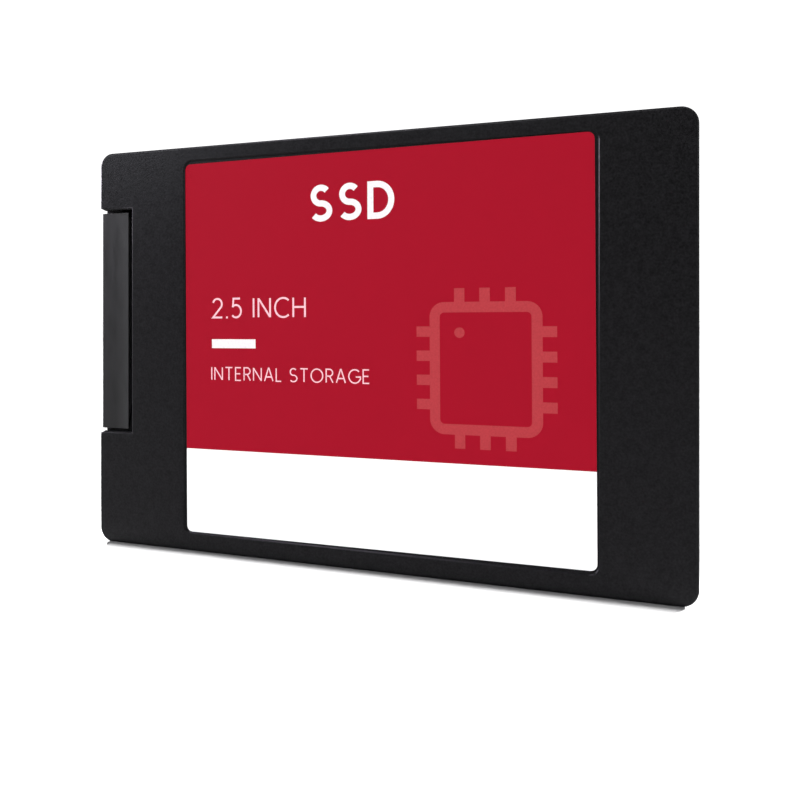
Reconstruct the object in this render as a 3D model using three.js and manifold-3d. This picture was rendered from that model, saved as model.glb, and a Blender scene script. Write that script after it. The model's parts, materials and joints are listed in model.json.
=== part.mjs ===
// A 2.5-inch solid state drive, 7 mm thick, standing on one long edge.
//
// Millimetres, +Z up. The drive is laid out flat first: X is the distance from the
// connector end, Y the distance from one long edge and Z the height above the underside.
// The last lines turn that layout up onto its long edge, so that the label side faces -Y
// and the underside faces +Y, and put the origin at the bottom centre.

import * as THREE from "three";
import { mergeVertices } from "three/addons/utils/BufferGeometryUtils.js";
import Module from "manifold-3d";

const wasm = await Module();
wasm.setup();

// Case, to the 2.5-inch form factor
const LENGTH = 100.2;
const WIDTH = 69.85;
const THICKNESS = 7.0;
const CORNER_RADIUS = 2.5;
const EDGE_ROUND = 0.45;

// Shells
const FLOOR = 0.8;
const PLATE = 0.8;
const WALL = 1.2;
const SEAM = 5.5;
const SEAM_GAP = 0.06;
const FIT_GAP = 0.05;
const STACK_GAP = 0.02;
const LIP_WALL = 0.7;
const LIP_BOTTOM = 4.3;

// Notch for the connector, through both shells
const CONNECTOR_OFFSET = 4.8;
const CONNECTOR_CENTRE = WIDTH / 2 + CONNECTOR_OFFSET;
const NOTCH_WIDTH = 39.7;
const NOTCH_DEPTH = 6.7;
const MOUTH_LENGTH = 0.9;
const MOUTH_FLARE = 0.4;
const CHEEK = { reach: 0.25, front: 0.3, bottom: 0.6 };

// Mounting holes, M3
const HOLE_NEAR = 14.0;
const HOLE_FAR = 90.6;
const HOLE_EDGE = 4.07;
const HOLE_RADIUS = 1.25;
const HOLE_CHAMFER = 0.25;
const BOTTOM_HOLE_DEPTH = 3.0;
const SIDE_HOLE_DEPTH = 2.4;
const SIDE_HOLE_HEIGHT = 3.0;
const BOSS_LENGTH = 7.2;
const BOSS_REACH = 7.8;
const BOSS_TOP = 5.2;

// Labels and their recesses. The front label is stuck down a third of a degree out of
// square, and a label's turn is in degrees.
const FRONT_LABEL = { x: [18.0, 86.4], y: [3.55, 67.0], radius: 1.0, turn: 0.36 };
const REAR_LABEL = { x: [22.0, 84.0], y: [9.0, 60.85], radius: 1.5, turn: 0 };
const LABEL_THICKNESS = 0.12;
const FRONT_RECESS = 0.3;
const REAR_RECESS = 0.25;
const RECESS_MARGIN = 0.3;
const RECESS_CHAMFER = 0.22;

// Circuit board
const BOARD_BOTTOM = 1.85;
const BOARD_THICKNESS = 1.0;
const BOARD_TOP = BOARD_BOTTOM + BOARD_THICKNESS;
const BOARD_FRONT = 8.2;
const BOARD_END = 62.0;
const BOARD_MARGIN = 2.6;
const BOARD_RADIUS = 1.0;
const BOSS_CLEARANCE = 0.4;
const NECK_FRONT = 5.75;
const NECK_CLEARANCE = 0.375;
const BOARD_SCREWS = [[12.5, 14.0], [58.0, 6.4], [58.0, 63.45]];
const STANDOFF_RADIUS = 2.2;
const SCREW_RADIUS = 0.8;
const SCREW_LENGTH = 2.1;
const SCREW_HOLE_DEPTH = 1.45;
const SCREW_CLEARANCE = 0.3;
const HEAD_RADIUS = 1.9;
const HEAD_HEIGHT = 0.85;
const CROSS_WIDTH = 0.34;

// Connector: a shroud wall on the label side, two end posts, a tongue and its contacts
const HOUSING_WIDTH = 38.8;
const HOUSING_FRONT = 0.05;
const HOUSING_BACK = 5.6;
const HOUSING_TOP = 6.3;
const HOUSING_BOTTOM = 1.0;
const SHROUD_WALL = 1.1;
const POST_WIDTH = 1.1;
const BACK_WALL = 1.0;
const EAR_REACH = 0.2;
const EAR_HEIGHTS = [1.2, 5.5];
const REAR_BLOCK_BACK = 9.2;
const REAR_BLOCK_TOP = 4.6;
const REAR_BLOCK_STEP = 6.8;
const REAR_BLOCK_SETBACK = 1.1;
const TONGUE_FRONT = 0.35;
const TONGUE_HEIGHTS = [2.95, 4.15];
const TONGUE_CHAMFER = 0.3;
const KEY_WIDTH = 1.05;
const KEY_BOTTOM = 1.35;
const HOLD_DOWN = { metal: 0.25, foot: 0.85, length: 2.1, setback: 0.15, shortfall: 0.3 };

// Contacts, in pitches from the connector's centre line
const PITCH = 1.27;
const SIGNAL_COUNT = 7;
const SIGNAL_START = -12.5;
const POWER_COUNT = 15;
const POWER_START = -1.5;
const TONGUE_OVERHANG = 0.82;
const BLADE_WIDTH = 0.84;
const BLADE_THICKNESS = 0.2;
const BLADE_BOTTOM = BOARD_TOP + STACK_GAP;
const BLADE_BACK = 5.0;
const TAIL_WIDTH = 0.5;
const BLADE_NIP = 0.15;
const TAIL_END = 10.4;
// The power and ground contacts that mate first are the longest.
const FRONT_BY_ORDER = { first: 0.75, second: 1.25, third: 1.65 };
const SIGNAL_FIRST = [1, 4, 7];
const POWER_FIRST = [4, 12];
const POWER_SECOND = [3, 5, 6, 7, 10, 13];

// Parts on the board: middle [x, y], then length, width and height
const CONTROLLER = { at: [24.5, 36.0], size: [14.0, 14.0, 1.2] };
const MEMORY = { at: [24.5, 19.5], size: [9.0, 13.0, 1.0] };
const FLASH = { x: [41.0, 54.4], y: [20.0, 49.85], size: [12.0, 18.0, 1.1] };
const BOOT_MEMORY = { at: [14.0, 25.5], size: [5.0, 6.0, 0.8] };
const REGULATOR = { at: [16.5, 53.0], size: [5.0, 5.0, 0.9] };
const INDUCTORS = { at: [[23.5, 50.5], [23.5, 56.5]], size: [4.2, 4.2, 1.8] };
const CAPACITORS = { at: [[30.5, 49.0], [30.5, 53.0], [30.5, 57.0], [30.5, 61.0]], size: [3.5, 2.8, 1.9] };
const CRYSTAL = { at: [14.5, 36.0], size: [3.2, 2.5, 0.7] };
const PAD_SIZE = 12.0;
const PAD_RADIUS = 0.5;
const PEDESTAL_SIZE = 15.0;
const PEDESTAL_RADIUS = 1.0;
const PEDESTAL_BOTTOM = 4.8;

// Snap hooks on the cover's lip: middle of each hook along the side that it is on
const HOOK_LENGTH = 6.0;
const HOOK_REACH = 0.35;
const HOOK_HEIGHTS = [4.4, 4.8];
const SIDE_HOOKS = [30.0, 52.0, 74.0];
const END_HOOKS = [20.0, 49.85];

// Fineness: a quarter circle in an outline gets twice its number of arc steps
const CASE_ARC = 5;
const LABEL_ARC = 3;
const SMALL_ARC = 1;
const CASE_ROUND = 3;
const TURNED_STEPS = 18;

// How far a cutting solid runs past what it cuts, and a joined one into its neighbour
const BEYOND = 5.0;
const OVERLAP = 0.5;

// ---------------------------------------------------------------- solids

// A manifold solid from a closed three.js geometry.
function toSolid(geometry) {
  const bare = geometry.clone();
  bare.deleteAttribute("normal");
  bare.deleteAttribute("uv");
  const merged = mergeVertices(bare, 1e-4);
  const index = merged.index.array;
  const triangles = [];
  for (let i = 0; i < index.length; i += 3) {
    const [a, b, c] = [index[i], index[i + 1], index[i + 2]];
    if (a !== b && b !== c && c !== a) triangles.push(a, b, c);
  }
  return new wasm.Manifold(new wasm.Mesh({
    numProp: 3,
    vertProperties: Float32Array.from(merged.attributes.position.array),
    triVerts: Uint32Array.from(triangles),
  }));
}

function toGeometry(solid) {
  const mesh = solid.getMesh();
  const geometry = new THREE.BufferGeometry();
  geometry.setAttribute("position", new THREE.BufferAttribute(mesh.vertProperties, 3));
  geometry.setIndex(new THREE.BufferAttribute(mesh.triVerts, 1));
  geometry.computeVertexNormals();
  return geometry;
}

// A box between three pairs of limits.
function block([x0, x1], [y0, y1], [z0, z1]) {
  const box = new THREE.BoxGeometry(x1 - x0, y1 - y0, z1 - z0);
  box.translate((x0 + x1) / 2, (y0 + y1) / 2, (z0 + z1) / 2);
  return toSolid(box);
}

// An outline in X and Y, raised from one height to another.
function slab(outline, [z0, z1], arcSteps) {
  const options = { depth: z1 - z0, bevelEnabled: false, curveSegments: arcSteps };
  const raised = new THREE.ExtrudeGeometry(outline, options);
  raised.translate(0, 0, z0);
  return toSolid(raised);
}

// The same, with its upper and lower edges rounded over, or chamfered in one step.
function roundedSlab(outline, [z0, z1], round, roundSteps, arcSteps) {
  const raised = new THREE.ExtrudeGeometry(outline, {
    depth: z1 - z0 - 2 * round,
    bevelThickness: round,
    bevelSize: round,
    bevelOffset: -round,
    bevelSegments: roundSteps,
    curveSegments: arcSteps,
  });
  raised.translate(0, 0, z0 + round);
  return toSolid(raised);
}

// An outline in X and Z, run across the drive from one Y to another.
function rail(points, [y0, y1]) {
  const outline = new THREE.Shape(points.map(([x, z]) => new THREE.Vector2(x, z)));
  const run = new THREE.ExtrudeGeometry(outline, { depth: y1 - y0, bevelEnabled: false });
  run.rotateX(Math.PI / 2);
  run.translate(0, y1, 0);
  return toSolid(run);
}

// An upright round pillar.
function pillar([x, y], radius, [z0, z1]) {
  const round = new THREE.CylinderGeometry(radius, radius, z1 - z0, TURNED_STEPS);
  round.rotateX(Math.PI / 2);
  round.translate(x, y, (z0 + z1) / 2);
  return toSolid(round);
}

// A closed profile of [radius, height] points, turned about Z.
function turned(profile) {
  const points = profile.map(([r, z]) => new THREE.Vector2(r, z));
  const lathe = new THREE.LatheGeometry(points, TURNED_STEPS);
  return lathe.rotateX(Math.PI / 2);
}

// A blind hole with a chamfered mouth and a drilled point. It goes down from the origin
// along -Z, and its tool stands a little above the surface.
function drill(depth) {
  const mouth = HOLE_RADIUS + HOLE_CHAMFER;
  return turned([
    [0, -depth - HOLE_RADIUS / 3],
    [HOLE_RADIUS, -depth],
    [HOLE_RADIUS, -HOLE_CHAMFER],
    [mouth, 0],
    [mouth, OVERLAP],
    [0, OVERLAP],
  ]);
}

// ---------------------------------------------------------------- outlines

// A rectangle's limits along X and Y, about the origin and taken in by an inset.
function halves([length, width], inset = 0) {
  const [x, y] = [length / 2 - inset, width / 2 - inset];
  return [[-x, x], [-y, y]];
}

function roundedRectangle([x0, x1], [y0, y1], radius) {
  const outline = new THREE.Shape();
  outline.moveTo(x0 + radius, y0);
  outline.lineTo(x1 - radius, y0);
  outline.absarc(x1 - radius, y0 + radius, radius, -Math.PI / 2, 0);
  outline.absarc(x1 - radius, y1 - radius, radius, 0, Math.PI / 2);
  outline.absarc(x0 + radius, y1 - radius, radius, Math.PI / 2, Math.PI);
  outline.absarc(x0 + radius, y0 + radius, radius, Math.PI, 1.5 * Math.PI);
  return outline;
}

// The case seen from above, with the connector's notch, taken in by an inset all round.
function caseOutline(inset) {
  const radius = CORNER_RADIUS - inset;
  const [x0, x1] = [inset, LENGTH - inset];
  const [y0, y1] = [inset, WIDTH - inset];
  const reach = NOTCH_WIDTH / 2 + inset;
  const inner = NOTCH_DEPTH + inset;
  const outline = new THREE.Shape();
  outline.moveTo(x0 + radius, y0);
  outline.lineTo(x1 - radius, y0);
  outline.absarc(x1 - radius, y0 + radius, radius, -Math.PI / 2, 0);
  outline.absarc(x1 - radius, y1 - radius, radius, 0, Math.PI / 2);
  outline.absarc(x0 + radius, y1 - radius, radius, Math.PI / 2, Math.PI);
  outline.lineTo(x0, CONNECTOR_CENTRE + reach + MOUTH_FLARE);
  outline.lineTo(inset + MOUTH_LENGTH, CONNECTOR_CENTRE + reach);
  outline.lineTo(inner, CONNECTOR_CENTRE + reach);
  outline.lineTo(inner, CONNECTOR_CENTRE - reach);
  outline.lineTo(inset + MOUTH_LENGTH, CONNECTOR_CENTRE - reach);
  outline.lineTo(x0, CONNECTOR_CENTRE - reach - MOUTH_FLARE);
  outline.absarc(x0 + radius, y0 + radius, radius, Math.PI, 1.5 * Math.PI);
  return outline;
}

// A label's outline, grown by a margin.
function labelOutline(label, margin) {
  const [x0, x1] = label.x;
  const [y0, y1] = label.y;
  return roundedRectangle([x0 - margin, x1 + margin], [y0 - margin, y1 + margin], label.radius + margin);
}

// ---------------------------------------------------------------- shells

// The corner bosses' limits: one beside each long edge, near each end.
function bossBoxes(growth) {
  const boxes = [];
  for (const middle of [HOLE_NEAR, HOLE_FAR]) {
    const x = [middle - BOSS_LENGTH / 2 - growth, middle + BOSS_LENGTH / 2 + growth];
    boxes.push([x, [EDGE_ROUND, BOSS_REACH + growth]]);
    boxes.push([x, [WIDTH - BOSS_REACH - growth, WIDTH - EDGE_ROUND]]);
  }
  return boxes;
}

// The snap hooks' limits, reaching out from the cover's lip by a set amount.
function hookBoxes(reach, growth) {
  const face = WALL + FIT_GAP;
  const half = HOOK_LENGTH / 2 + growth;
  const boxes = [];
  for (const x of SIDE_HOOKS) {
    boxes.push([[x - half, x + half], [face - reach, face + LIP_WALL / 2]]);
    boxes.push([[x - half, x + half], [WIDTH - face - LIP_WALL / 2, WIDTH - face + reach]]);
  }
  for (const y of END_HOOKS) {
    boxes.push([[LENGTH - face - LIP_WALL / 2, LENGTH - face + reach], [y - half, y + half]]);
  }
  return boxes;
}

// All eight tapped holes, four in the underside and four in the long edges.
function mountingHoles() {
  const holes = [];
  for (const x of [HOLE_NEAR, HOLE_FAR]) {
    for (const y of [HOLE_EDGE, WIDTH - HOLE_EDGE]) {
      holes.push(toSolid(drill(BOTTOM_HOLE_DEPTH).rotateX(Math.PI).translate(x, y, 0)));
    }
    const lower = drill(SIDE_HOLE_DEPTH).rotateX(Math.PI / 2);
    holes.push(toSolid(lower.translate(x, 0, SIDE_HOLE_HEIGHT)));
    const upper = drill(SIDE_HOLE_DEPTH).rotateX(-Math.PI / 2);
    holes.push(toSolid(upper.translate(x, WIDTH, SIDE_HOLE_HEIGHT)));
  }
  return holes;
}

// A shell's outer form with only its far face rounded: the near half of a rounded slab
// is cut off at the seam.
function outerShell([z0, z1], cutAt, keepUpper) {
  const whole = roundedSlab(caseOutline(0), [z0, z1], EDGE_ROUND, CASE_ROUND, CASE_ARC);
  const cut = keepUpper ? [z0 - BEYOND, cutAt] : [cutAt, z1 + BEYOND];
  return whole.subtract(block([-BEYOND, LENGTH + BEYOND], [-BEYOND, WIDTH + BEYOND], cut));
}

// The tray's cheeks, which narrow its notch on both sides behind the cover's wider one.
function notchCheeks() {
  const depth = [CHEEK.front, NOTCH_DEPTH - 2 * FIT_GAP];
  const heights = [CHEEK.bottom, SEAM - SEAM_GAP / 2];
  const lower = CONNECTOR_CENTRE - NOTCH_WIDTH / 2;
  const upper = CONNECTOR_CENTRE + NOTCH_WIDTH / 2;
  return [
    block(depth, [lower - OVERLAP, lower + CHEEK.reach], heights),
    block(depth, [upper - CHEEK.reach, upper + OVERLAP], heights),
  ];
}

function makeBaseTray() {
  const notch = [CONNECTOR_CENTRE - NOTCH_WIDTH / 2, CONNECTOR_CENTRE + NOTCH_WIDTH / 2];
  const above = SEAM + BEYOND;
  let tray = outerShell([0, THICKNESS], SEAM - SEAM_GAP / 2, false);
  tray = tray.subtract(slab(caseOutline(WALL), [FLOOR, above], LABEL_ARC));
  const neckRun = [NOTCH_DEPTH - OVERLAP, BOARD_FRONT + OVERLAP];
  tray = tray.subtract(block(neckRun, notch, [FLOOR, above]));
  for (const cheek of notchCheeks()) tray = tray.add(cheek);
  for (const [x, y] of bossBoxes(0)) tray = tray.add(block(x, y, [EDGE_ROUND, BOSS_TOP]));
  for (const at of BOARD_SCREWS) {
    const top = BOARD_BOTTOM - STACK_GAP;
    tray = tray.add(pillar(at, STANDOFF_RADIUS, [FLOOR / 2, top]));
    tray = tray.subtract(pillar(at, SCREW_RADIUS + FIT_GAP, [top - SCREW_HOLE_DEPTH, above]));
  }
  for (const [x, y] of hookBoxes(HOOK_REACH + FIT_GAP, 2 * FIT_GAP)) {
    const heights = [HOOK_HEIGHTS[0] - 2 * FIT_GAP, HOOK_HEIGHTS[1] + 2 * FIT_GAP];
    tray = tray.subtract(block(x, y, heights));
  }
  for (const hole of mountingHoles()) tray = tray.subtract(hole);
  const recess = labelOutline(REAR_LABEL, RECESS_MARGIN);
  const mouth = labelOutline(REAR_LABEL, RECESS_MARGIN + RECESS_CHAMFER);
  const flare = [-BEYOND, RECESS_CHAMFER];
  tray = tray.subtract(slab(recess, [-BEYOND, REAR_RECESS], LABEL_ARC));
  return tray.subtract(roundedSlab(mouth, flare, RECESS_CHAMFER, 1, LABEL_ARC));
}

function makeTopCover() {
  const underside = THICKNESS - PLATE;
  const notch = [CONNECTOR_CENTRE - NOTCH_WIDTH / 2, CONNECTOR_CENTRE + NOTCH_WIDTH / 2];
  const notchZone = [notch[0] - WALL, notch[1] + WALL];
  const root = underside + PLATE / 4;
  let cover = outerShell([0, THICKNESS], SEAM + SEAM_GAP / 2, true);
  cover = cover.subtract(slab(caseOutline(WALL), [0, underside], LABEL_ARC));

  // The lip reaches down inside the tray's walls, with gaps at the bosses and the connector.
  const lipFace = WALL + FIT_GAP;
  let lip = slab(caseOutline(lipFace), [LIP_BOTTOM, root], LABEL_ARC);
  lip = lip.subtract(slab(caseOutline(lipFace + LIP_WALL), [0, THICKNESS], LABEL_ARC));
  for (const [x, y] of hookBoxes(HOOK_REACH, 0)) lip = lip.add(block(x, y, HOOK_HEIGHTS));
  for (const [x, y] of bossBoxes(4 * FIT_GAP)) lip = lip.subtract(block(x, y, [0, underside]));
  lip = lip.subtract(block([NOTCH_DEPTH, BOARD_FRONT + WALL], notchZone, [0, underside]));
  cover = cover.add(lip);

  // A rib closes the notch's inner end down to the connector, and a pedestal meets the
  // controller's thermal pad.
  const ribRun = [notch[0] + FIT_GAP, notch[1] - FIT_GAP];
  const rib = block([NOTCH_DEPTH, NOTCH_DEPTH + WALL], ribRun, [REAR_BLOCK_TOP + FIT_GAP, root]);
  cover = cover.add(rib);
  const [x, y] = CONTROLLER.at;
  const half = PEDESTAL_SIZE / 2;
  const foot = roundedRectangle([x - half, x + half], [y - half, y + half], PEDESTAL_RADIUS);
  cover = cover.add(slab(foot, [PEDESTAL_BOTTOM, root], SMALL_ARC));

  const recess = labelOutline(FRONT_LABEL, RECESS_MARGIN);
  const mouth = labelOutline(FRONT_LABEL, RECESS_MARGIN + RECESS_CHAMFER);
  const flare = [THICKNESS - RECESS_CHAMFER, THICKNESS + BEYOND];
  cover = cover.subtract(slab(recess, [THICKNESS - FRONT_RECESS, THICKNESS + BEYOND], LABEL_ARC));
  return cover.subtract(roundedSlab(mouth, flare, RECESS_CHAMFER, 1, LABEL_ARC));
}

// A label as it is stuck down, turned about its own middle.
function makeLabel(label, bottom) {
  const [x, y] = halves([label.x[1] - label.x[0], label.y[1] - label.y[0]]);
  const options = { depth: LABEL_THICKNESS, bevelEnabled: false, curveSegments: LABEL_ARC };
  const film = new THREE.ExtrudeGeometry(roundedRectangle(x, y, label.radius), options);
  film.rotateZ(THREE.MathUtils.degToRad(label.turn));
  film.translate(label.x[0] + x[1], label.y[0] + y[1], bottom);
  return toSolid(film);
}

// ---------------------------------------------------------------- board

function makeCircuitBoard() {
  const heights = [BOARD_BOTTOM, BOARD_TOP];
  const across = [BOARD_MARGIN, WIDTH - BOARD_MARGIN];
  const body = roundedRectangle([BOARD_FRONT, BOARD_END], across, BOARD_RADIUS);
  const neckReach = NOTCH_WIDTH / 2 - NECK_CLEARANCE;
  const neck = [CONNECTOR_CENTRE - neckReach, CONNECTOR_CENTRE + neckReach];
  let board = slab(body, heights, SMALL_ARC);
  board = board.add(block([NECK_FRONT, BOARD_FRONT + OVERLAP], neck, heights));
  for (const [x, y] of bossBoxes(BOSS_CLEARANCE)) {
    board = board.subtract(block(x, y, [0, THICKNESS]));
  }
  for (const at of BOARD_SCREWS) {
    board = board.subtract(pillar(at, SCREW_RADIUS + SCREW_CLEARANCE, [0, THICKNESS]));
  }
  return board;
}

// A moulded chip, with its upper edges eased and a shallow dimple at its first corner.
function makeChip([length, width, height]) {
  const ease = 0.1;
  const cornerRadius = 0.25;
  const dimple = { inset: 1.0, radius: 0.4, depth: 0.08 };
  const [x, y] = halves([length, width]);
  const outline = roundedRectangle(x, y, cornerRadius);
  const bulk = roundedSlab(outline, [-height, height], ease, 1, SMALL_ARC);
  const at = [x[0] + dimple.inset, y[0] + dimple.inset];
  const hollow = pillar(at, dimple.radius, [height - dimple.depth, height + OVERLAP]);
  return bulk.subtract(block(x, y, [-BEYOND, 0])).subtract(hollow);
}

// A power inductor: a square ferrite body with rounded corners and a round, raised top.
function makeInductor([length, width, height]) {
  const cornerRadius = 0.7;
  const shoulder = 0.85 * height;
  const topRadius = 0.42 * length;
  const [x, y] = halves([length, width]);
  const body = slab(roundedRectangle(x, y, cornerRadius), [0, shoulder], SMALL_ARC);
  return body.add(pillar([0, 0], topRadius, [height / 2, height]));
}

// A tantalum capacitor: a moulded brick whose end terminals stand a little proud.
function makeCapacitor([length, width, height]) {
  const proud = 0.1;
  const terminal = { length: 0.8, width: 0.75 * width, height: 0.6 * height };
  const [x, y] = halves([length, width]);
  const brick = block([x[0] + proud, x[1] - proud], y, [proud, height]);
  const across = [-terminal.width / 2, terminal.width / 2];
  const left = block([x[0], x[0] + terminal.length], across, [0, terminal.height]);
  const right = block([x[1] - terminal.length, x[1]], across, [0, terminal.height]);
  return brick.add(left).add(right);
}

// A crystal oscillator: a metal lid on a slightly larger ceramic base.
function makeCrystal([length, width, height]) {
  const baseRadius = 0.2;
  const lidRadius = 0.3;
  const lidInset = 0.2;
  const base = roundedRectangle(...halves([length, width]), baseRadius);
  const lid = roundedRectangle(...halves([length, width], lidInset), lidRadius);
  const body = slab(base, [0, height / 2], SMALL_ARC);
  return body.add(slab(lid, [height / 4, height], SMALL_ARC));
}

// A small pan-head screw with a cross recess. Its origin is under the head.
function makeBoardScrew() {
  const tip = 0.25 * SCREW_RADIUS;
  const screw = turned([
    [0, -SCREW_LENGTH],
    [SCREW_RADIUS - tip, -SCREW_LENGTH],
    [SCREW_RADIUS, tip - SCREW_LENGTH],
    [SCREW_RADIUS, 0],
    [HEAD_RADIUS, 0],
    [HEAD_RADIUS, 0.4 * HEAD_HEIGHT],
    [0.85 * HEAD_RADIUS, 0.8 * HEAD_HEIGHT],
    [0.6 * HEAD_RADIUS, HEAD_HEIGHT],
    [0, HEAD_HEIGHT],
  ]);
  const long = [-0.45 * HEAD_RADIUS, 0.45 * HEAD_RADIUS];
  const narrow = [-CROSS_WIDTH / 2, CROSS_WIDTH / 2];
  const recess = [0.35 * HEAD_HEIGHT, 2 * HEAD_HEIGHT];
  return toSolid(screw).subtract(block(long, narrow, recess)).subtract(block(narrow, long, recess));
}

// ---------------------------------------------------------------- connector

// Every contact: its name, its place across the connector and where its blade starts.
function contactList() {
  const list = [];
  for (let i = 1; i <= SIGNAL_COUNT; i += 1) {
    const order = SIGNAL_FIRST.includes(i) ? "first" : "second";
    const y = CONNECTOR_CENTRE + (SIGNAL_START + i - 1) * PITCH;
    list.push({ name: `signal_contact_${i}`, y, front: FRONT_BY_ORDER[order] });
  }
  for (let i = 1; i <= POWER_COUNT; i += 1) {
    const late = POWER_SECOND.includes(i) ? "second" : "third";
    const order = POWER_FIRST.includes(i) ? "first" : late;
    const y = CONNECTOR_CENTRE + (POWER_START + i - 1) * PITCH;
    list.push({ name: `power_contact_${i}`, y, front: FRONT_BY_ORDER[order] });
  }
  return list;
}

// A flat blade with a narrower tail, its middle line on Y = 0.
function makeContact(front) {
  const [wide, narrow] = [BLADE_WIDTH / 2, TAIL_WIDTH / 2];
  const corners = [
    [front, wide - BLADE_NIP],
    [front + BLADE_NIP, wide],
    [BLADE_BACK, wide],
    [BLADE_BACK + BLADE_NIP, narrow],
    [TAIL_END, narrow],
  ];
  const mirrored = corners.map(([x, y]) => [x, -y]).reverse();
  const outline = new THREE.Shape([...mirrored, ...corners].map(([x, y]) => new THREE.Vector2(x, y)));
  return slab(outline, [0, BLADE_THICKNESS], SMALL_ARC);
}

// One stretch of tongue, with a lead-in at its tip and a key leg at one of its ends.
function makeTongue([y0, y1], keySide) {
  const [z0, z1] = TONGUE_HEIGHTS;
  const tip = TONGUE_FRONT + TONGUE_CHAMFER;
  const back = HOUSING_BACK - BACK_WALL / 2;
  const section = [
    [tip, z0],
    [back, z0],
    [back, z1],
    [tip, z1],
    [TONGUE_FRONT, z1 - TONGUE_CHAMFER],
    [TONGUE_FRONT, z0 + TONGUE_CHAMFER],
  ];
  const leg = keySide < 0 ? [y0, y0 + KEY_WIDTH] : [y1 - KEY_WIDTH, y1];
  const legSection = [
    [tip, KEY_BOTTOM],
    [back, KEY_BOTTOM],
    [back, z1 - TONGUE_CHAMFER],
    [TONGUE_FRONT, z1 - TONGUE_CHAMFER],
    [TONGUE_FRONT, KEY_BOTTOM + TONGUE_CHAMFER],
  ];
  return rail(section, [y0, y1]).add(rail(legSection, leg));
}

function makeConnectorHousing() {
  const ends = [CONNECTOR_CENTRE - HOUSING_WIDTH / 2, CONNECTOR_CENTRE + HOUSING_WIDTH / 2];
  const depth = [HOUSING_FRONT, HOUSING_BACK];
  const heights = [HOUSING_BOTTOM, HOUSING_TOP];
  const shroud = block(depth, ends, [HOUSING_TOP - SHROUD_WALL, HOUSING_TOP]);
  const backWall = block([HOUSING_BACK - BACK_WALL, HOUSING_BACK], ends, heights);
  let housing = shroud.add(backWall);
  housing = housing.add(block(depth, [ends[0], ends[0] + POST_WIDTH], heights));
  housing = housing.add(block(depth, [ends[1] - POST_WIDTH, ends[1]], heights));

  // Ears on both ends fill the case's notch.
  const earDepth = [HOUSING_FRONT + EAR_REACH, HOUSING_BACK];
  housing = housing.add(block(earDepth, [ends[0] - EAR_REACH, ends[0] + OVERLAP], EAR_HEIGHTS));
  housing = housing.add(block(earDepth, [ends[1] - OVERLAP, ends[1] + EAR_REACH], EAR_HEIGHTS));

  // The rear block lies on the board, full width at first and then clear of the hold-downs.
  const seat = [BOARD_TOP + FIT_GAP, REAR_BLOCK_TOP];
  const within = [ends[0] + REAR_BLOCK_SETBACK, ends[1] - REAR_BLOCK_SETBACK];
  housing = housing.add(block([HOUSING_BACK - OVERLAP, REAR_BLOCK_STEP], ends, seat));
  housing = housing.add(block([HOUSING_BACK - OVERLAP, REAR_BLOCK_BACK], within, seat));

  // Signal and power tongues. Each has its key on the side that faces the other.
  const signalLast = SIGNAL_START + SIGNAL_COUNT - 1;
  const powerLast = POWER_START + POWER_COUNT - 1;
  const signal = [
    CONNECTOR_CENTRE + SIGNAL_START * PITCH - TONGUE_OVERHANG,
    CONNECTOR_CENTRE + signalLast * PITCH + TONGUE_OVERHANG + KEY_WIDTH,
  ];
  const power = [
    CONNECTOR_CENTRE + POWER_START * PITCH - TONGUE_OVERHANG - KEY_WIDTH,
    CONNECTOR_CENTRE + powerLast * PITCH + TONGUE_OVERHANG,
  ];
  housing = housing.add(makeTongue(signal, 1)).add(makeTongue(power, -1));

  // A channel for each contact, from its tip through the back wall and the rear block.
  const channelTop = BLADE_BOTTOM + BLADE_THICKNESS + FIT_GAP;
  for (const { y, front } of contactList()) {
    const half = BLADE_WIDTH / 2 + FIT_GAP;
    const run = [front - FIT_GAP, REAR_BLOCK_BACK + OVERLAP];
    housing = housing.subtract(block(run, [y - half, y + half], [BLADE_BOTTOM - FIT_GAP, channelTop]));
  }
  return housing;
}

// A metal angle that solders the rear block to the board. It stands at the block's end,
// with its foot pointing away from the block on the side given.
function makeHoldDown(side) {
  const { metal, foot, length } = HOLD_DOWN;
  const tall = REAR_BLOCK_TOP - BOARD_TOP - HOLD_DOWN.shortfall;
  const outward = (reach) => (side < 0 ? [-reach, 0] : [0, reach]);
  const upright = block([0, length], outward(metal), [0, tall]);
  return upright.add(block([0, length], outward(foot), [0, metal]));
}

// ---------------------------------------------------------------- assembly

const drive = new THREE.Group();

function addPiece(name, solid, finish, [x, y, z] = [0, 0, 0]) {
  const { color, roughness, metalness } = finish;
  const material = new THREE.MeshStandardMaterial({ color, roughness, metalness });
  const mesh = new THREE.Mesh(toGeometry(solid), material);
  mesh.name = name;
  mesh.position.set(x, y, z);
  drive.add(mesh);
}

const blackPaint = { color: 0x26262a, roughness: 0.6, metalness: 0.3 };
const darkPlastic = { color: 0x3a3a3d, roughness: 0.45, metalness: 0 };
const redPrint = { color: 0xac1a2d, roughness: 0.5, metalness: 0 };
const palePrint = { color: 0xe8e8ea, roughness: 0.5, metalness: 0 };
const boardGreen = { color: 0x1f4a33, roughness: 0.5, metalness: 0 };
const gold = { color: 0xc9a24a, roughness: 0.25, metalness: 1 };
const chipBlack = { color: 0x202124, roughness: 0.6, metalness: 0 };
const ferrite = { color: 0x4a4a4e, roughness: 0.8, metalness: 0 };
const tantalum = { color: 0xb8893a, roughness: 0.5, metalness: 0 };
const brightMetal = { color: 0xb9bbbd, roughness: 0.3, metalness: 1 };
const padGrey = { color: 0x8d95a3, roughness: 0.9, metalness: 0 };

const onBoard = BOARD_TOP + STACK_GAP;

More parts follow.
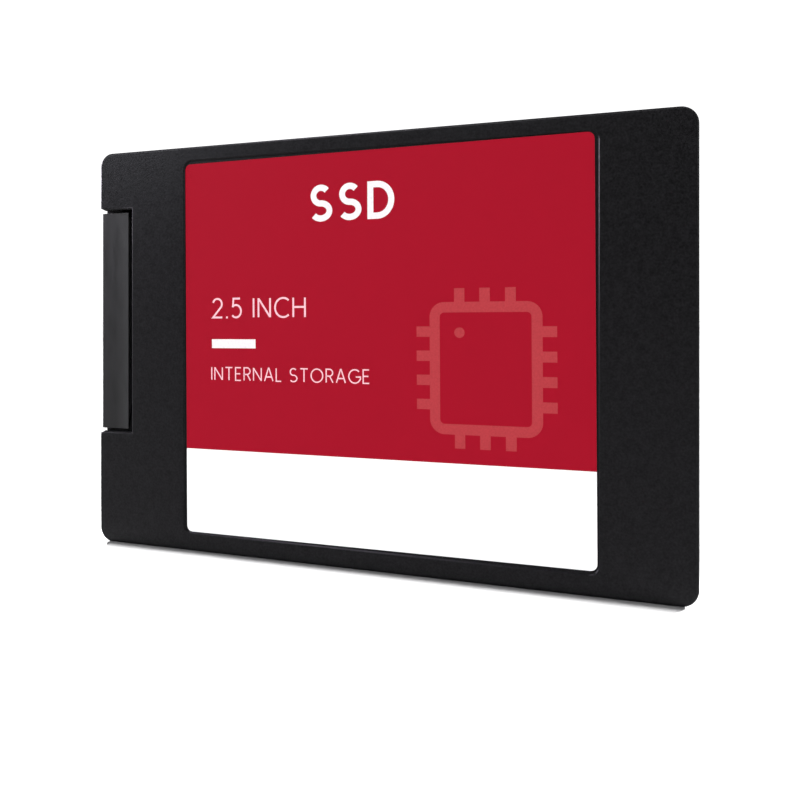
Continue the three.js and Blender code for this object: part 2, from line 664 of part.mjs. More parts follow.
addPiece("base_tray", makeBaseTray(), blackPaint);
addPiece("top_cover", makeTopCover(), blackPaint);
addPiece("front_label", makeLabel(FRONT_LABEL, THICKNESS - FRONT_RECESS + STACK_GAP), redPrint);
addPiece("rear_label", makeLabel(REAR_LABEL, REAR_RECESS - STACK_GAP - LABEL_THICKNESS), palePrint);
addPiece("circuit_board", makeCircuitBoard(), boardGreen);
addPiece("connector_housing", makeConnectorHousing(), darkPlastic);

for (const { name, y, front } of contactList()) {
  addPiece(name, makeContact(front), gold, [0, y, BLADE_BOTTOM]);
}

for (const side of [-1, 1]) {
  const end = HOUSING_WIDTH / 2 - REAR_BLOCK_SETBACK + FIT_GAP;
  const place = [REAR_BLOCK_STEP + HOLD_DOWN.setback, CONNECTOR_CENTRE + side * end, onBoard];
  const name = side < 0 ? "signal_end_hold_down" : "power_end_hold_down";
  addPiece(name, makeHoldDown(side), brightMetal, place);
}

addPiece("controller_chip", makeChip(CONTROLLER.size), chipBlack, [...CONTROLLER.at, onBoard]);
addPiece("working_memory_chip", makeChip(MEMORY.size), chipBlack, [...MEMORY.at, onBoard]);
let flashNumber = 0;
for (const x of FLASH.x) {
  for (const y of FLASH.y) {
    flashNumber += 1;
    addPiece(`flash_chip_${flashNumber}`, makeChip(FLASH.size), chipBlack, [x, y, onBoard]);
  }
}
addPiece("startup_memory_chip", makeChip(BOOT_MEMORY.size), chipBlack, [...BOOT_MEMORY.at, onBoard]);
addPiece("power_regulator_chip", makeChip(REGULATOR.size), chipBlack, [...REGULATOR.at, onBoard]);
INDUCTORS.at.forEach((at, i) => {
  addPiece(`power_inductor_${i + 1}`, makeInductor(INDUCTORS.size), ferrite, [...at, onBoard]);
});
CAPACITORS.at.forEach((at, i) => {
  addPiece(`tantalum_capacitor_${i + 1}`, makeCapacitor(CAPACITORS.size), tantalum, [...at, onBoard]);
});
addPiece("crystal_oscillator", makeCrystal(CRYSTAL.size), brightMetal, [...CRYSTAL.at, onBoard]);

const padBottom = onBoard + CONTROLLER.size[2] + STACK_GAP;
const padOutline = roundedRectangle(...halves([PAD_SIZE, PAD_SIZE]), PAD_RADIUS);
const padSolid = slab(padOutline, [0, PEDESTAL_BOTTOM - STACK_GAP - padBottom], SMALL_ARC);
addPiece("thermal_pad", padSolid, padGrey, [...CONTROLLER.at, padBottom]);

BOARD_SCREWS.forEach((at, i) => {
  addPiece(`board_screw_${i + 1}`, makeBoardScrew(), brightMetal, [...at, onBoard]);
});

// Stand the drive on its long edge, with the origin at the bottom centre.
const standing = new THREE.Group();
drive.rotation.x = Math.PI / 2;
drive.position.set(-LENGTH / 2, THICKNESS / 2, 0);
standing.add(drive);

export default standing;
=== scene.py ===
"""The looks of a 2.5-inch solid state drive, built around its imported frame.

Everything is in metres. The drive stands on its lower long edge. Its front label faces -Y,
its underside faces +Y, and its connector end is at -X.
"""

import json
import math

import bmesh
import bpy
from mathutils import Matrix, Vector


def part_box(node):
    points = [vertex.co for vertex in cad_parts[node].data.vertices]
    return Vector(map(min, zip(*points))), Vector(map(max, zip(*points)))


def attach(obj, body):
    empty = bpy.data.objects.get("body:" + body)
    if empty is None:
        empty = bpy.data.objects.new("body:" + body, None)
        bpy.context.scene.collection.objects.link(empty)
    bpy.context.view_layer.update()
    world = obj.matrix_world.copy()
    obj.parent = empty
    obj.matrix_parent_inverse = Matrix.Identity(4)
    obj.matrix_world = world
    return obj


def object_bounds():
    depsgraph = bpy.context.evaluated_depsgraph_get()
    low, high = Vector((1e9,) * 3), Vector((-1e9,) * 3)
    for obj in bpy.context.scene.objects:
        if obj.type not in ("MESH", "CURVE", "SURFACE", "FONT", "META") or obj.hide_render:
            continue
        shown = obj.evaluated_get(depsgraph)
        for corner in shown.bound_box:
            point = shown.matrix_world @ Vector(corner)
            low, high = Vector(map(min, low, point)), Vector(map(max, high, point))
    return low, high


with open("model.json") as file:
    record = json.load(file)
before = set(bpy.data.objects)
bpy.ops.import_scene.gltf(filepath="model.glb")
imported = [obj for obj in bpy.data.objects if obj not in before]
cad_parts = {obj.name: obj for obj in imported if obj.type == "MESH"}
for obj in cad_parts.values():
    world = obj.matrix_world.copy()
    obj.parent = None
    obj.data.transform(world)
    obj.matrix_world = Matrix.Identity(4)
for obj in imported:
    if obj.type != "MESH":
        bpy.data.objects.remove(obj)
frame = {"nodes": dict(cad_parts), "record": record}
cad_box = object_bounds()

MM = 0.001
NODES = frame["nodes"]
SLOTS = {part["node"]: part["material_slot"] for part in frame["record"]["subparts"]}

# ------------------------------------------------------------------ sizes

# The front label, measured along its own edges. It is stuck down a little out of square.
LABEL_LENGTH = 68.4 * MM
LABEL_HEIGHT = 63.45 * MM
LABEL_TURN = math.radians(0.36)
WHITE_HEIGHT = 14.35 * MM           # its white part, below the red

INK = 0.012 * MM                    # how far print stands proud of its label
INK_ROOT = 0.004 * MM               # how far print reaches into its label
OVERPRINT = 0.0008 * MM             # how much higher each stroke lies where strokes cross
LETTER_GAP = 0.17                   # gaps in lettering, as parts of a capital's height
WORD_GAP = 0.42
ARC_STEP = 9                        # degrees between the points of a curved stroke

# Lines of lettering: the text, its lower left corner on its label, its height and its stroke
FRONT_HEADING = ("SSD", 23.48 * MM, 52.42 * MM, 6.0 * MM, 1.0 * MM)
FRONT_LINES = (
    ("2.5 INCH", 5.18 * MM, 36.78 * MM, 3.5 * MM, 0.32 * MM),
    ("INTERNAL STORAGE", 4.92 * MM, 26.2 * MM, 2.35 * MM, 0.21 * MM),
)
REAR_HEADING = ("SSD", 5.0 * MM, 42.75 * MM, 4.2 * MM, 0.7 * MM)
REAR_LINES = (
    ("2.5 INCH", 2.5 * MM, 31.5 * MM, 2.6 * MM, 0.3 * MM),
    ("INTERNAL STORAGE", 2.5 * MM, 27.0 * MM, 1.9 * MM, 0.22 * MM),
)

# The short bar on the front label: its left and right ends, its middle's height and its width
FRONT_BAR = (5.1 * MM, 13.44 * MM, 32.48 * MM, 1.52 * MM)

# The chip picture on the front label. Its body is given by its left, bottom, right and top.
CHIP_BODY = (44.43 * MM, 19.59 * MM, 60.03 * MM, 38.29 * MM)
CHIP_CORNER = 1.5 * MM
CHIP_STROKE = 1.6 * MM
CHIP_PIN = 2.9 * MM
CHIP_PINS_ACROSS = 3
CHIP_PINS_UP = 4
CHIP_DOT = 3.9 * MM                 # its dot, from two sides of the body

# The rear label's print: a band, and a blank form of short rows beside a tall box
REAR_MARGIN = 2.5 * MM              # from the label's edges
REAR_BAND = 9.0 * MM
FORM_RULE = 0.22 * MM
FORM_CORNER = 0.4 * MM
FORM_ROWS = 4
FORM_ROW = 4.2 * MM
FORM_PITCH = 5.4 * MM
FORM_SPLIT = (38.5 * MM, 41.0 * MM)  # where the rows end and the tall box starts
FORM_TOP = 24.6 * MM

# The threaded holes, and the helical ridge in each
HOLE_ENDS = (14.0 * MM, 90.6 * MM)  # from the connector end
HOLE_INSET = 4.07 * MM              # those in the underside, from each long side
SIDE_HOLE_HEIGHT = 3.0 * MM         # those in the long sides, above the underside
BOTTOM_HOLE_DEPTH = 3.0 * MM
SIDE_HOLE_DEPTH = 2.4 * MM
THREAD_BORE = 1.25 * MM             # the bore's radius
THREAD_RIDGE = 0.13 * MM            # how far the ridge stands out of the bore's wall
THREAD_ROOT = 0.04 * MM             # how far it reaches into the wall
THREAD_PITCH = 0.5 * MM
THREAD_FOOT = 0.45                  # half the ridge's width at its foot and at its crest,
THREAD_CREST = 0.08                 # as parts of the pitch
THREAD_START = 0.35 * MM            # below the hole's mouth
THREAD_SHORTFALL = 0.3 * MM         # between the thread's end and the hole's
THREAD_STEPS = 28                   # for each turn
THREAD_RUNOUT = 10                  # steps over which a thread fades in or out

# How the CAD pieces' edges are rounded
WELD_REACH = 0.0005 * MM
FLAT_ANGLE = math.radians(0.5)      # faces that differ by less count as one flat
SHARP_ANGLE = math.radians(32)      # edges that turn by more are rounded
EDGE_SEGMENTS = 2
EDGE_WIDTHS = {
    "case_paint": 0.04 * MM,
    "front_print": 0.015 * MM,
    "rear_print": 0.02 * MM,
    "connector_plastic": 0.07 * MM,
    "contact_gold": 0.02 * MM,
    "chip_mould": 0.03 * MM,
}
OTHER_EDGE_WIDTH = 0.03 * MM

front_low, front_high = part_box("front_label")
front_middle = (front_low + front_high) / 2
rear_low, rear_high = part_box("rear_label")
drive_middle = (cad_box[0] + cad_box[1]) / 2

# ------------------------------------------------------------------ materials

LABEL_RED = (0.304, 0.0056, 0.0173)
LABEL_WHITE = (0.93, 0.93, 0.93)
LABEL_CUT_EDGE = (0.40, 0.13, 0.14)
INK_ROUGHNESS = 0.6
PLASTIC_PAINTED_SHEEN = (2.8 * MM, 5.6 * MM)  # where a painted sheen turns it paler, from the connector end inwards

# The Mix node's colour sockets, by number because it has several of the same name
MIX_FACTOR = 0
MIX_FIRST = 6
MIX_SECOND = 7
MIX_RESULT = 2


class Shader:
    """A material's node tree, with short calls for the nodes that this script uses."""

    def __init__(self, name, metallic=0.0, specular=0.5):
        self.material = bpy.data.materials.new(name)
        self.material.use_nodes = True
        self.tree = self.material.node_tree
        self.bsdf = self.tree.nodes["Principled BSDF"]
        self.set("Metallic", metallic)
        self.set("Specular IOR Level", specular)
        self.place = self.tree.nodes.new("ShaderNodeTexCoord").outputs["Object"]

    def set(self, socket, value):
        self.bsdf.inputs[socket].default_value = value

    def link(self, output, target):
        """Links an output to a shader input by name, or to any socket."""
        socket = self.bsdf.inputs[target] if isinstance(target, str) else target
        self.tree.links.new(output, socket)

    def noise(self, size, detail=2.0, stretch=(1, 1, 1)):
        """Noise whose lumps are about the given size across, in metres."""
        mapping = self.tree.nodes.new("ShaderNodeMapping")
        mapping.inputs["Scale"].default_value = [s / size for s in stretch]
        self.link(self.place, mapping.inputs["Vector"])
        node = self.tree.nodes.new("ShaderNodeTexNoise")
        node.inputs["Scale"].default_value = 1.0
        node.inputs["Detail"].default_value = detail
        self.link(mapping.outputs["Vector"], node.inputs["Vector"])
        return node.outputs["Fac"]

    def spread(self, value, low, high, start=0.3, end=0.7):
        """Maps the stretch of a value from start to end onto a range."""
        node = self.tree.nodes.new("ShaderNodeMapRange")
        node.inputs["From Min"].default_value = start
        node.inputs["From Max"].default_value = end
        node.inputs["To Min"].default_value = low
        node.inputs["To Max"].default_value = high
        self.link(value, node.inputs["Value"])
        return node.outputs["Result"]

    def blend(self, factor, first, second):
        """Mixes two colours by a factor. A colour is a value or another node's output."""
        node = self.tree.nodes.new("ShaderNodeMix")
        node.data_type = "RGBA"
        self.link(factor, node.inputs[MIX_FACTOR])
        for index, color in ((MIX_FIRST, first), (MIX_SECOND, second)):
            socket = node.inputs[index]
            if isinstance(color, tuple):
                socket.default_value = (*color, 1.0)
            else:
                self.link(color, socket)
        return node.outputs[MIX_RESULT]

    def math(self, operation, *values):
        node = self.tree.nodes.new("ShaderNodeMath")
        node.operation = operation
        for socket, value in zip(node.inputs, values):
            if isinstance(value, (int, float)):
                socket.default_value = value
            else:
                self.link(value, socket)
        return node.outputs["Value"]

    def bump(self, height, depth, strength=1.0):
        """Raises the surface by a height pattern of the given depth, in metres."""
        node = self.tree.nodes.new("ShaderNodeBump")
        node.inputs["Strength"].default_value = strength
        node.inputs["Distance"].default_value = depth
        self.link(height, node.inputs["Height"])
        self.link(node.outputs["Normal"], "Normal")

    def axis(self, name, vector=None):
        """One coordinate of a vector, which is the place in metres if none is given."""
        node = self.tree.nodes.new("ShaderNodeSeparateXYZ")
        self.link(vector or self.place, node.inputs["Vector"])
        return node.outputs[name]

    def facing(self, name):
        """How squarely the surface faces along an axis, either way, from 0 to 1."""
        normal = self.tree.nodes.new("ShaderNodeNewGeometry").outputs["True Normal"]
        return self.math("ABSOLUTE", self.axis(name, normal))


def black_paint():
    """Matte black powder paint, with a fine grain and a fainter, wider mottle."""
    s = Shader("case_paint", specular=0.09)
    s.set("Specular Tint", (0.95, 0.94, 1.0, 1.0))
    grain = s.noise(0.3 * MM, detail=3)
    mottle = s.noise(1.1 * MM)
    texture = s.math("MULTIPLY_ADD", mottle, 0.25, s.math("MULTIPLY", grain, 0.75))
    color = s.blend(s.spread(texture, 0, 1), (0.002, 0.002, 0.0021), (0.009, 0.0088, 0.0096))
    s.link(color, "Base Color")
    s.link(s.spread(texture, 0.3, 0.39), "Roughness")
    s.bump(grain, 0.03 * MM, 0.75)
    return s.material


def connector_plastic():
    """Satin dark moulded polymer, with faint flow marks. It is paler away from its outer end, which
    is a painted sheen.
    """
    s = Shader("connector_plastic", specular=0.2)
    flow = s.noise(2.5 * MM, stretch=(2, 1, 0.5))
    dark = s.blend(s.spread(flow, 0, 1), (0.0035, 0.0035, 0.0037), (0.0065, 0.0065, 0.0069))
    start, end = (cad_box[0].x + place for place in PLASTIC_PAINTED_SHEEN)
    # painted sheen: the colour turns paler inwards, standing in for the light that the bar's inner
    # part reflects
    painted_sheen = s.spread(s.axis("X"), 0, 1, start, end)
    s.link(s.blend(painted_sheen, dark, (0.021, 0.021, 0.0217)), "Base Color")
    s.link(s.spread(flow, 0.38, 0.46), "Roughness")
    s.bump(s.noise(0.2 * MM), 0.003 * MM)
    return s.material


def front_print():
    """Printed matte film: red above a straight border and white below it, with a pale cut edge."""
    s = Shader("front_print", specular=0.02)
    across, up = math.sin(LABEL_TURN), math.cos(LABEL_TURN)
    border = front_middle.z * up - front_middle.x * across + WHITE_HEIGHT - LABEL_HEIGHT / 2
    height = s.math("MULTIPLY_ADD", s.axis("X"), -across, s.math("MULTIPLY", s.axis("Z"), up))
    film = s.blend(s.math("GREATER_THAN", height, border), LABEL_WHITE, LABEL_RED)
    on_edge = s.math("LESS_THAN", s.facing("Y"), 0.5)
    s.link(s.blend(on_edge, film, LABEL_CUT_EDGE), "Base Color")
    s.link(s.spread(s.noise(1.2 * MM), 0.56, 0.64), "Roughness")
    s.bump(s.noise(0.5 * MM), 0.001 * MM)
    return s.material


def plain(name, color, roughness, metallic=0.0, specular=0.5):
    """A fine-grained solid colour, for small parts."""
    s = Shader(name, metallic, specular)
    grain = s.noise(0.3 * MM)
    darker = tuple(0.85 * c for c in color)
    s.link(s.blend(s.spread(grain, 0, 1), darker, color), "Base Color")
    s.link(s.spread(grain, 0.9 * roughness, 1.1 * roughness), "Roughness")
    s.bump(grain, 0.003 * MM)
    return s.material


def ink(name, color, specular=0.02):
    """Printing ink, as matte as the label under it."""
    return plain(name, color, INK_ROUGHNESS, specular=specular)


MATERIALS = {
    "case_paint": black_paint(),
    "front_print": front_print(),
    "rear_print": plain("rear_print", (0.62, 0.63, 0.64), 0.5, specular=0.2),
    "board_mask": plain("board_mask", (0.012, 0.07, 0.035), 0.35),
    "connector_plastic": connector_plastic(),
    "contact_gold": plain("contact_gold", (0.90, 0.66, 0.28), 0.22, metallic=1.0),
    "plated_steel": plain("plated_steel", (0.66, 0.67, 0.68), 0.3, metallic=1.0),
    "chip_mould": plain("chip_mould", (0.018, 0.018, 0.02), 0.55),
    "ferrite": plain("ferrite", (0.06, 0.06, 0.065), 0.75),
    "tantalum_mould": plain("tantalum_mould", (0.55, 0.30, 0.05), 0.5),
    "thermal_pad": plain("thermal_pad", (0.28, 0.32, 0.38), 0.9),
    "screw_steel": plain("screw_steel", (0.58, 0.58, 0.60), 0.32, metallic=1.0),
}

WHITE_INK = ink("white_ink", (0.86, 0.79, 0.81))
PALE_INK = ink("pale_ink", (0.90, 0.52, 0.58))
PALE_RED_INK = ink("pale_red_ink", (0.42, 0.044, 0.053))
DARK_INK = ink("dark_ink", (0.02, 0.02, 0.022), specular=0.1)
RED_INK = ink("red_ink", LABEL_RED)

# ------------------------------------------------------------------ CAD pieces


def refine(obj, width):
    """Joins up a CAD piece's triangles, rounds its sharp edges a little and smooths it. Its own
    mesh keeps its shape, because modifiers do the work."""
    mesh = obj.data
    if "custom_normal" in mesh.attributes:
        mesh.attributes.remove(mesh.attributes["custom_normal"])
    mesh.shade_smooth()
    weld = obj.modifiers.new("weld", "WELD")
    weld.merge_threshold = WELD_REACH
    flats = obj.modifiers.new("flats", "DECIMATE")
    flats.decimate_type = "DISSOLVE"
    flats.angle_limit = FLAT_ANGLE
    edges = obj.modifiers.new("edges", "BEVEL")
    edges.width = width
    edges.segments = EDGE_SEGMENTS
    edges.limit_method = "ANGLE"
    edges.angle_limit = SHARP_ANGLE
    edges.use_clamp_overlap = False
    edges.miter_outer = "MITER_ARC"
    normals = obj.modifiers.new("normals", "WEIGHTED_NORMAL")
    normals.keep_sharp = True


for node, slot in SLOTS.items():
    for place in NODES[node].material_slots:
        place.material = MATERIALS[slot]
    refine(NODES[node], EDGE_WIDTHS.get(slot, OTHER_EDGE_WIDTH))

# ------------------------------------------------------------------ pieces of its own


def add_piece(name, form, material, smooth=False):
    """Turns a bmesh into a piece of the drive."""
    bmesh.ops.recalc_face_normals(form, faces=form.faces)
    mesh = bpy.data.meshes.new(name)
    form.to_mesh(mesh)
    form.free()
    mesh.materials.append(material)
    if smooth:
        mesh.shade_smooth()
    piece = bpy.data.objects.new(name, mesh)
    bpy.context.scene.collection.objects.link(piece)
    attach(piece, "root")
    return piece


def join_rings(form, rings, closed):
    """Skins a row of corner rings into one closed solid."""
    rows = [[form.verts.new(corner) for corner in ring] for ring in rings]
    corners = len(rings[0])
    pairs = list(zip(rows, rows[1:]))
    if closed:
        pairs.append((rows[-1], rows[0]))
    for first, second in pairs:
        for corner in range(corners):
            after = (corner + 1) % corners
            form.faces.new((first[corner], first[after], second[after], second[corner]))
    if not closed:
        form.faces.new(rows[0])
        form.faces.new(rows[-1])


# ------------------------------------------------------------------ lettering


def arc(x, y, radius_x, radius_y, start, end):
    """Points along part of an ellipse, between two angles in degrees."""
    steps = round(abs(end - start) / ARC_STEP)
    angles = [math.radians(start + (end - start) * step / steps) for step in range(steps + 1)]
    return [(x + radius_x * math.cos(a), y + radius_y * math.sin(a)) for a in angles]


# Each capital's width and strokes, in parts of its height. A stroke that ends where it began
# is a closed loop.
LETTERS = {
    "A": (0.72, [[(0, 0), (0.335, 1), (0.385, 1), (0.72, 0)], [(0.12, 0.32), (0.60, 0.32)]]),
    "C": (0.76, [arc(0.47, 0.5, 0.47, 0.5, 48, 312)]),
    "D": (0.70, [[(0, 0), (0, 1)] + arc(0.24, 0.5, 0.46, 0.5, 90, -90) + [(0, 0)]]),
    "E": (0.47, [[(0.47, 1), (0, 1), (0, 0), (0.47, 0)], [(0, 0.52), (0.41, 0.52)]]),
    "G": (0.86, [arc(0.48, 0.5, 0.48, 0.5, 46, 340) + [(0.93, 0.46), (0.56, 0.46)]]),
    "H": (0.66, [[(0, 0), (0, 1)], [(0.66, 0), (0.66, 1)], [(0, 0.52), (0.66, 0.52)]]),
    "I": (0.0, [[(0, 0), (0, 1)]]),
    "L": (0.42, [[(0, 1), (0, 0), (0.42, 0)]]),
    "N": (0.68, [[(0, 0), (0, 1)], [(0.68, 0), (0.68, 1)], [(0.02, 0.97), (0.66, 0.03)]]),
    "O": (0.96, [arc(0.48, 0.5, 0.48, 0.5, 0, 360)]),
    "R": (0.55, [[(0, 0), (0, 1)] + arc(0.26, 0.74, 0.27, 0.26, 90, -90) + [(0, 0.48)],
                 [(0.28, 0.48), (0.55, 0)]]),
    "S": (0.60, [arc(0.30, 0.745, 0.26, 0.255, 38, 270) + arc(0.30, 0.245, 0.30, 0.245, 90, -145)]),
    "T": (0.62, [[(0, 1), (0.62, 1)], [(0.31, 1), (0.31, 0)]]),
    "2": (0.56, [arc(0.27, 0.72, 0.27, 0.28, 165, -38) + [(0, 0), (0.56, 0)]]),
    "5": (0.56, [[(0.50, 1), (0.11, 1), (0.07, 0.54)], arc(0.26, 0.33, 0.30, 0.33, 132, -138)]),
    ".": (0.0, [[(0, -0.05), (0, 0.05)]]),
}


def ribbon(points, width):
    """The left and right edges of a stroke of even width, with mitred corners, and whether
    the stroke is a closed loop."""
    path = []
    for point in map(Vector, points):
        if not path or point != path[-1]:
            path.append(point)
    closed = (path[0] - path[-1]).length < width / 10
    if closed:
        path.pop()
    spans = [(after - point).normalized() for point, after in zip(path, path[1:] + path[:1])]
    edges = []
    for index, point in enumerate(path):
        after = spans[index] if closed or index < len(path) - 1 else spans[index - 1]
        before = spans[index - 1] if closed or index > 0 else after
        left = Vector((-before.y - after.y, before.x + after.x)) / (1 + before.dot(after))
        edges.append((point + left * width / 2, point - left * width / 2))
    return edges, closed


def draw_stroke(form, points, width, on_label, height=INK):
    """Prints a stroke as a thin closed solid. on_label turns a place in the drawing and a
    height above the label into a place in space."""
    edges, closed = ribbon(points, width)
    rings = [[on_label(*left, height), on_label(*right, height),
              on_label(*right, -INK_ROOT), on_label(*left, -INK_ROOT)] for left, right in edges]
    join_rings(form, rings, closed)


def draw_text(form, line, on_label):
    """Prints a line of plain capitals."""
    text, x, z, cap, stroke = line
    scale = cap - stroke
    for letter in text:
        if letter == " ":
            x += WORD_GAP * cap
            continue
        width, strokes = LETTERS[letter]
        for index, points in enumerate(strokes):
            path = [(x + stroke / 2 + scale * u, z + stroke / 2 + scale * v) for u, v in points]
            draw_stroke(form, path, stroke, on_label, INK + index * OVERPRINT)
        x += width * scale + stroke + LETTER_GAP * cap


def rounded_box(low_x, low_z, high_x, high_z, radius):
    """A closed outline with round corners."""
    return (arc(high_x - radius, high_z - radius, radius, radius, 0, 90)
            + arc(low_x + radius, high_z - radius, radius, radius, 90, 180)
            + arc(low_x + radius, low_z + radius, radius, radius, 180, 270)
            + arc(high_x - radius, low_z + radius, radius, radius, 270, 360)
            + [(high_x, high_z - radius)])


def draw_chip(form, on_label):
    """Prints a chip's outline, with pins on all four sides and a dot in one corner."""
    low_x, low_z, high_x, high_z = CHIP_BODY
    draw_stroke(form, rounded_box(*CHIP_BODY, CHIP_CORNER), CHIP_STROKE, on_label)
    for pin in range(CHIP_PINS_ACROSS):
        x = low_x + (high_x - low_x) * (pin + 1) / (CHIP_PINS_ACROSS + 1)
        for root, tip in ((low_z, low_z - CHIP_PIN), (high_z, high_z + CHIP_PIN)):
            draw_stroke(form, [(x, root), (x, tip)], CHIP_STROKE, on_label, INK + OVERPRINT)
    for pin in range(CHIP_PINS_UP):
        z = low_z + (high_z - low_z) * (pin + 1) / (CHIP_PINS_UP + 1)
        for root, tip in ((low_x, low_x - CHIP_PIN), (high_x, high_x + CHIP_PIN)):
            draw_stroke(form, [(root, z), (tip, z)], CHIP_STROKE, on_label, INK + OVERPRINT)
    dot = arc(low_x + CHIP_DOT, high_z - CHIP_DOT, CHIP_STROKE / 4, CHIP_STROKE / 4, 0, 360)
    draw_stroke(form, dot, CHIP_STROKE / 2, on_label)


def on_front(x, z, height):
    """A place on the front label, from its own lower left corner."""
    x -= LABEL_LENGTH / 2
    z -= LABEL_HEIGHT / 2
    across = x * math.cos(LABEL_TURN) - z * math.sin(LABEL_TURN)
    up = x * math.sin(LABEL_TURN) + z * math.cos(LABEL_TURN)
    return Vector((front_middle.x + across, front_low.y - height, front_middle.z + up))


def add_front_print():
    """A plain heading and two plain lines, a short bar, and a picture of a chip."""
    heading = bmesh.new()
    draw_text(heading, FRONT_HEADING, on_front)
    add_piece("front_heading", heading, WHITE_INK)
    lines = bmesh.new()
    for line in FRONT_LINES:
        draw_text(lines, line, on_front)
    add_piece("front_lines", lines, PALE_INK)
    bar = bmesh.new()
    left, right, middle, width = FRONT_BAR
    draw_stroke(bar, [(left, middle), (right, middle)], width, on_front)
    add_piece("front_bar", bar, WHITE_INK)
    chip = bmesh.new()
    draw_chip(chip, on_front)
    add_piece("front_chip_picture", chip, PALE_RED_INK)


def on_rear(x, z, height):
    """A place on the rear label, from its lower left corner as seen from behind."""
    return Vector((rear_high.x - x, rear_high.y + height, rear_low.z + z))


def over_band(x, z, height):
    """A place on top of the rear label's red band."""
    return on_rear(x, z, height + INK)


def add_rear_print():
    """A red band with a heading on it, two plain lines, and a ruled form left blank."""
    right = rear_high.x - rear_low.x - REAR_MARGIN
    middle = rear_high.z - rear_low.z - REAR_MARGIN - REAR_BAND / 2
    band = bmesh.new()
    draw_stroke(band, [(REAR_MARGIN, middle), (right, middle)], REAR_BAND, on_rear)
    add_piece("rear_band", band, RED_INK)
    heading = bmesh.new()
    draw_text(heading, REAR_HEADING, over_band)
    add_piece("rear_heading", heading, WHITE_INK)
    lines = bmesh.new()
    for line in REAR_LINES:
        draw_text(lines, line, on_rear)
    rows_end, box_start = FORM_SPLIT
    for row in range(FORM_ROWS):
        low = REAR_MARGIN + row * FORM_PITCH
        outline = rounded_box(REAR_MARGIN, low, rows_end, low + FORM_ROW, FORM_CORNER)
        draw_stroke(lines, outline, FORM_RULE, on_rear)
    outline = rounded_box(box_start, REAR_MARGIN, right, FORM_TOP, FORM_CORNER)
    draw_stroke(lines, outline, FORM_RULE, on_rear)
    add_piece("rear_lines", lines, DARK_INK)


add_front_print()
add_rear_print()

# ------------------------------------------------------------------ threads


def draw_thread(form, mouth, inward, depth):
    """A helical ridge inside a bore, from just inside its mouth to its end."""
    across = inward.orthogonal().normalized()
    side = inward.cross(across)
    steps = int((depth - THREAD_START - THREAD_SHORTFALL) / THREAD_PITCH * THREAD_STEPS)
    foot = inward * THREAD_FOOT * THREAD_PITCH
    tip = inward * THREAD_CREST * THREAD_PITCH
    rings = []
    for step in range(steps + 1):
        turn = 2 * math.pi * step / THREAD_STEPS
        out = across * math.cos(turn) + side * math.sin(turn)
        middle = mouth + inward * (THREAD_START + THREAD_PITCH * step / THREAD_STEPS)
        fade = min(1.0, (step + 1) / THREAD_RUNOUT, (steps + 1 - step) / THREAD_RUNOUT)
        root = middle + out * (THREAD_BORE + THREAD_ROOT)
        crest = middle + out * (THREAD_BORE - THREAD_RIDGE * fade)
        rings.append([root - foot, crest - tip, crest + tip, root + foot])
    join_rings(form, rings, closed=False)


def add_threads():
    """Threads in the four holes of the underside and the two holes of each long side."""
    low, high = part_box("base_tray")
    form = bmesh.new()
    for along in HOLE_ENDS:
        x = low.x + along
        for z in (low.z + HOLE_INSET, high.z - HOLE_INSET):
            draw_thread(form, Vector((x, high.y, z)), Vector((0, -1, 0)), BOTTOM_HOLE_DEPTH)
        y = high.y - SIDE_HOLE_HEIGHT
        draw_thread(form, Vector((x, y, low.z)), Vector((0, 0, 1)), SIDE_HOLE_DEPTH)
        draw_thread(form, Vector((x, y, high.z)), Vector((0, 0, -1)), SIDE_HOLE_DEPTH)
    add_piece("mounting_threads", form, MATERIALS["screw_steel"], smooth=True)


add_threads()

# ------------------------------------------------------------------ studio


def add_camera():
    """A level camera, right of the drive's middle and turned a little to the left. The
    vertical shift keeps the upright edges parallel."""
    data = bpy.data.cameras.new("camera")
    data.sensor_width = 36.0
    data.lens = 31.43
    data.shift_y = -0.1049
    data.clip_start = 0.001
    camera = bpy.data.objects.new("camera", data)
    camera.location = (0.0394, -0.1078, 0.04056)
    camera.rotation_euler = (math.radians(90), 0, math.radians(17.38))
    bpy.context.scene.collection.objects.link(camera)
    bpy.context.scene.camera = camera


def add_floor():
    """A plain floor, level with the edge that the drive stands on. It is lit so brightly that
    it shows as white."""
    mesh = bpy.data.meshes.new("floor")
    form = bmesh.new()
    bmesh.ops.create_grid(form, x_segments=8, y_segments=8, size=6.0)
    form.to_mesh(mesh)
    form.free()
    floor = bpy.data.objects.new("floor", mesh)
    bpy.context.scene.collection.objects.link(floor)
    s = Shader("floor_paper", specular=0.1)
    s.set("Base Color", (0.2, 0.2, 0.2, 1.0))
    s.link(s.spread(s.noise(4 * MM), 0.85, 0.95), "Roughness")
    mesh.materials.append(s.material)
    return floor


def add_world(light, seen):
    """Even light from all round, and a brighter white where the camera looks past the floor."""
    world = bpy.data.worlds.new("studio")
    world.use_nodes = True
    bpy.context.scene.world = world
    tree = world.node_tree
    tree.nodes.clear()
    output = tree.nodes.new("ShaderNodeOutputWorld")
    mix = tree.nodes.new("ShaderNodeMixShader")
    path = tree.nodes.new("ShaderNodeLightPath")
    tree.links.new(path.outputs["Is Camera Ray"], mix.inputs["Fac"])
    for strength, socket in ((light, 1), (seen, 2)):
        background = tree.nodes.new("ShaderNodeBackground")
        background.inputs["Color"].default_value = (1, 1, 1, 1)
        background.inputs["Strength"].default_value = strength
        tree.links.new(background.outputs["Background"], mix.inputs[socket])
    tree.links.new(mix.outputs["Shader"], output.inputs["Surface"])


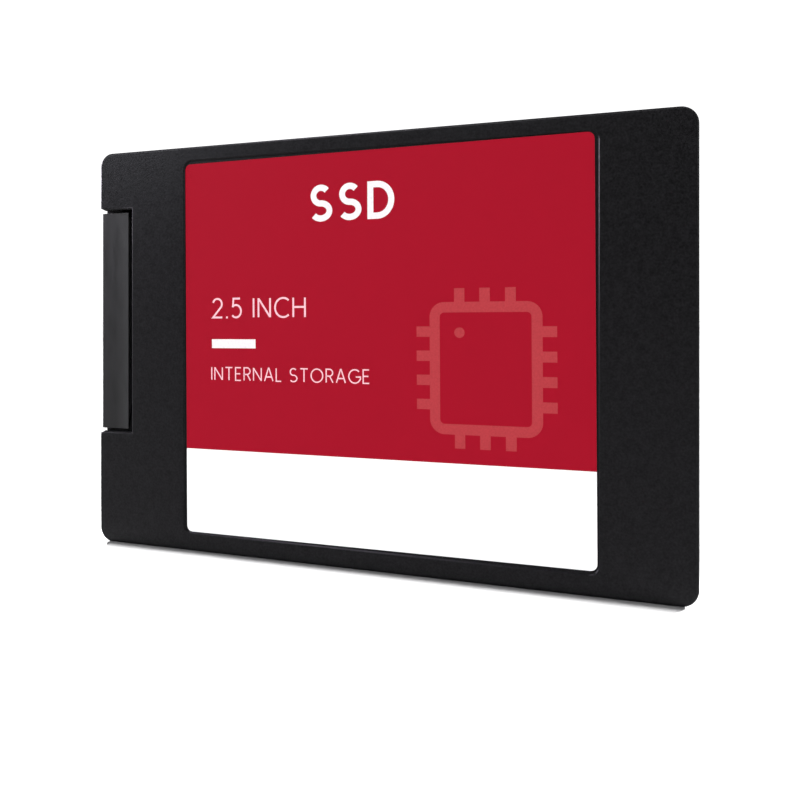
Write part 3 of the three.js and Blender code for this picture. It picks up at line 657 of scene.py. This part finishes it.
def add_light(kind, name, direction, strength, target=drive_middle, **settings):
    """A light that shines on a target from a direction, by its azimuth from the front and
    its elevation in degrees, and its distance. Returns the light."""
    azimuth, elevation, distance = direction
    a = math.radians(azimuth)
    e = math.radians(elevation)
    away = Vector((math.sin(a) * math.cos(e), -math.cos(a) * math.cos(e), math.sin(e)))
    data = bpy.data.lights.new(name, kind)
    data.energy = strength
    for setting, value in settings.items():
        setattr(data, setting, value)
    light = bpy.data.objects.new(name, data)
    light.location = target + away * distance
    light.rotation_euler = away.to_track_quat("Z", "Y").to_euler()
    bpy.context.scene.collection.objects.link(light)
    return light


def add_lights():
    """A hard light from above for the floor, softboxes for the front, and two rim lights
    that only show as bright lines along edges."""
    top = add_light("SUN", "top", (180, 88.8, 2.0), 16.5, angle=math.radians(1.8))
    top.visible_glossy = False
    add_light("SUN", "key", (70, 16, 2.0), 0.9, angle=math.radians(20))
    cool = (0.92, 0.94, 1.0)
    lilac = (0.93, 0.86, 1.0)
    add_light("AREA", "left_softbox", (-47, 25, 1.2), 6.0, shape="DISK", size=0.3, color=cool)
    add_light("AREA", "high_softbox", (-14, 38, 1.2), 6.2, shape="DISK", size=0.5)
    rim = add_light("AREA", "rim", (-84, 14, 1.2), 17.0, shape="DISK", size=0.3, color=lilac)
    high_rim = add_light("AREA", "high_rim", (-60, 62, 1.2), 7.5, shape="DISK", size=0.3,
                         color=lilac)
    for light in (rim, high_rim):
        light.visible_diffuse = False
    add_light("AREA", "back", (150, 20, 1.2), 6.0, shape="DISK", size=0.8)


def add_floor_spots(floor):
    """Two narrow lights from behind that clear the top light's shadow from under the drive's
    round corners. They shine on the floor alone."""
    receivers = bpy.data.collections.new("lit_by_floor_spots")
    receivers.objects.link(floor)
    for side, end in ((-1, cad_box[0].x), (1, cad_box[1].x)):
        spot = add_light("SPOT", f"floor_spot_{side}", (side * 127, 24, 0.4), 110,
                         target=Vector((end, 0, 0)), spot_size=math.radians(2.7),
                         spot_blend=1.0, shadow_soft_size=0.006)
        spot.light_linking.receiver_collection = receivers


add_camera()
paper = add_floor()
add_world(light=0.14, seen=1.2)
add_lights()
add_floor_spots(paper)
bpy.context.scene.view_settings.view_transform = "Standard"
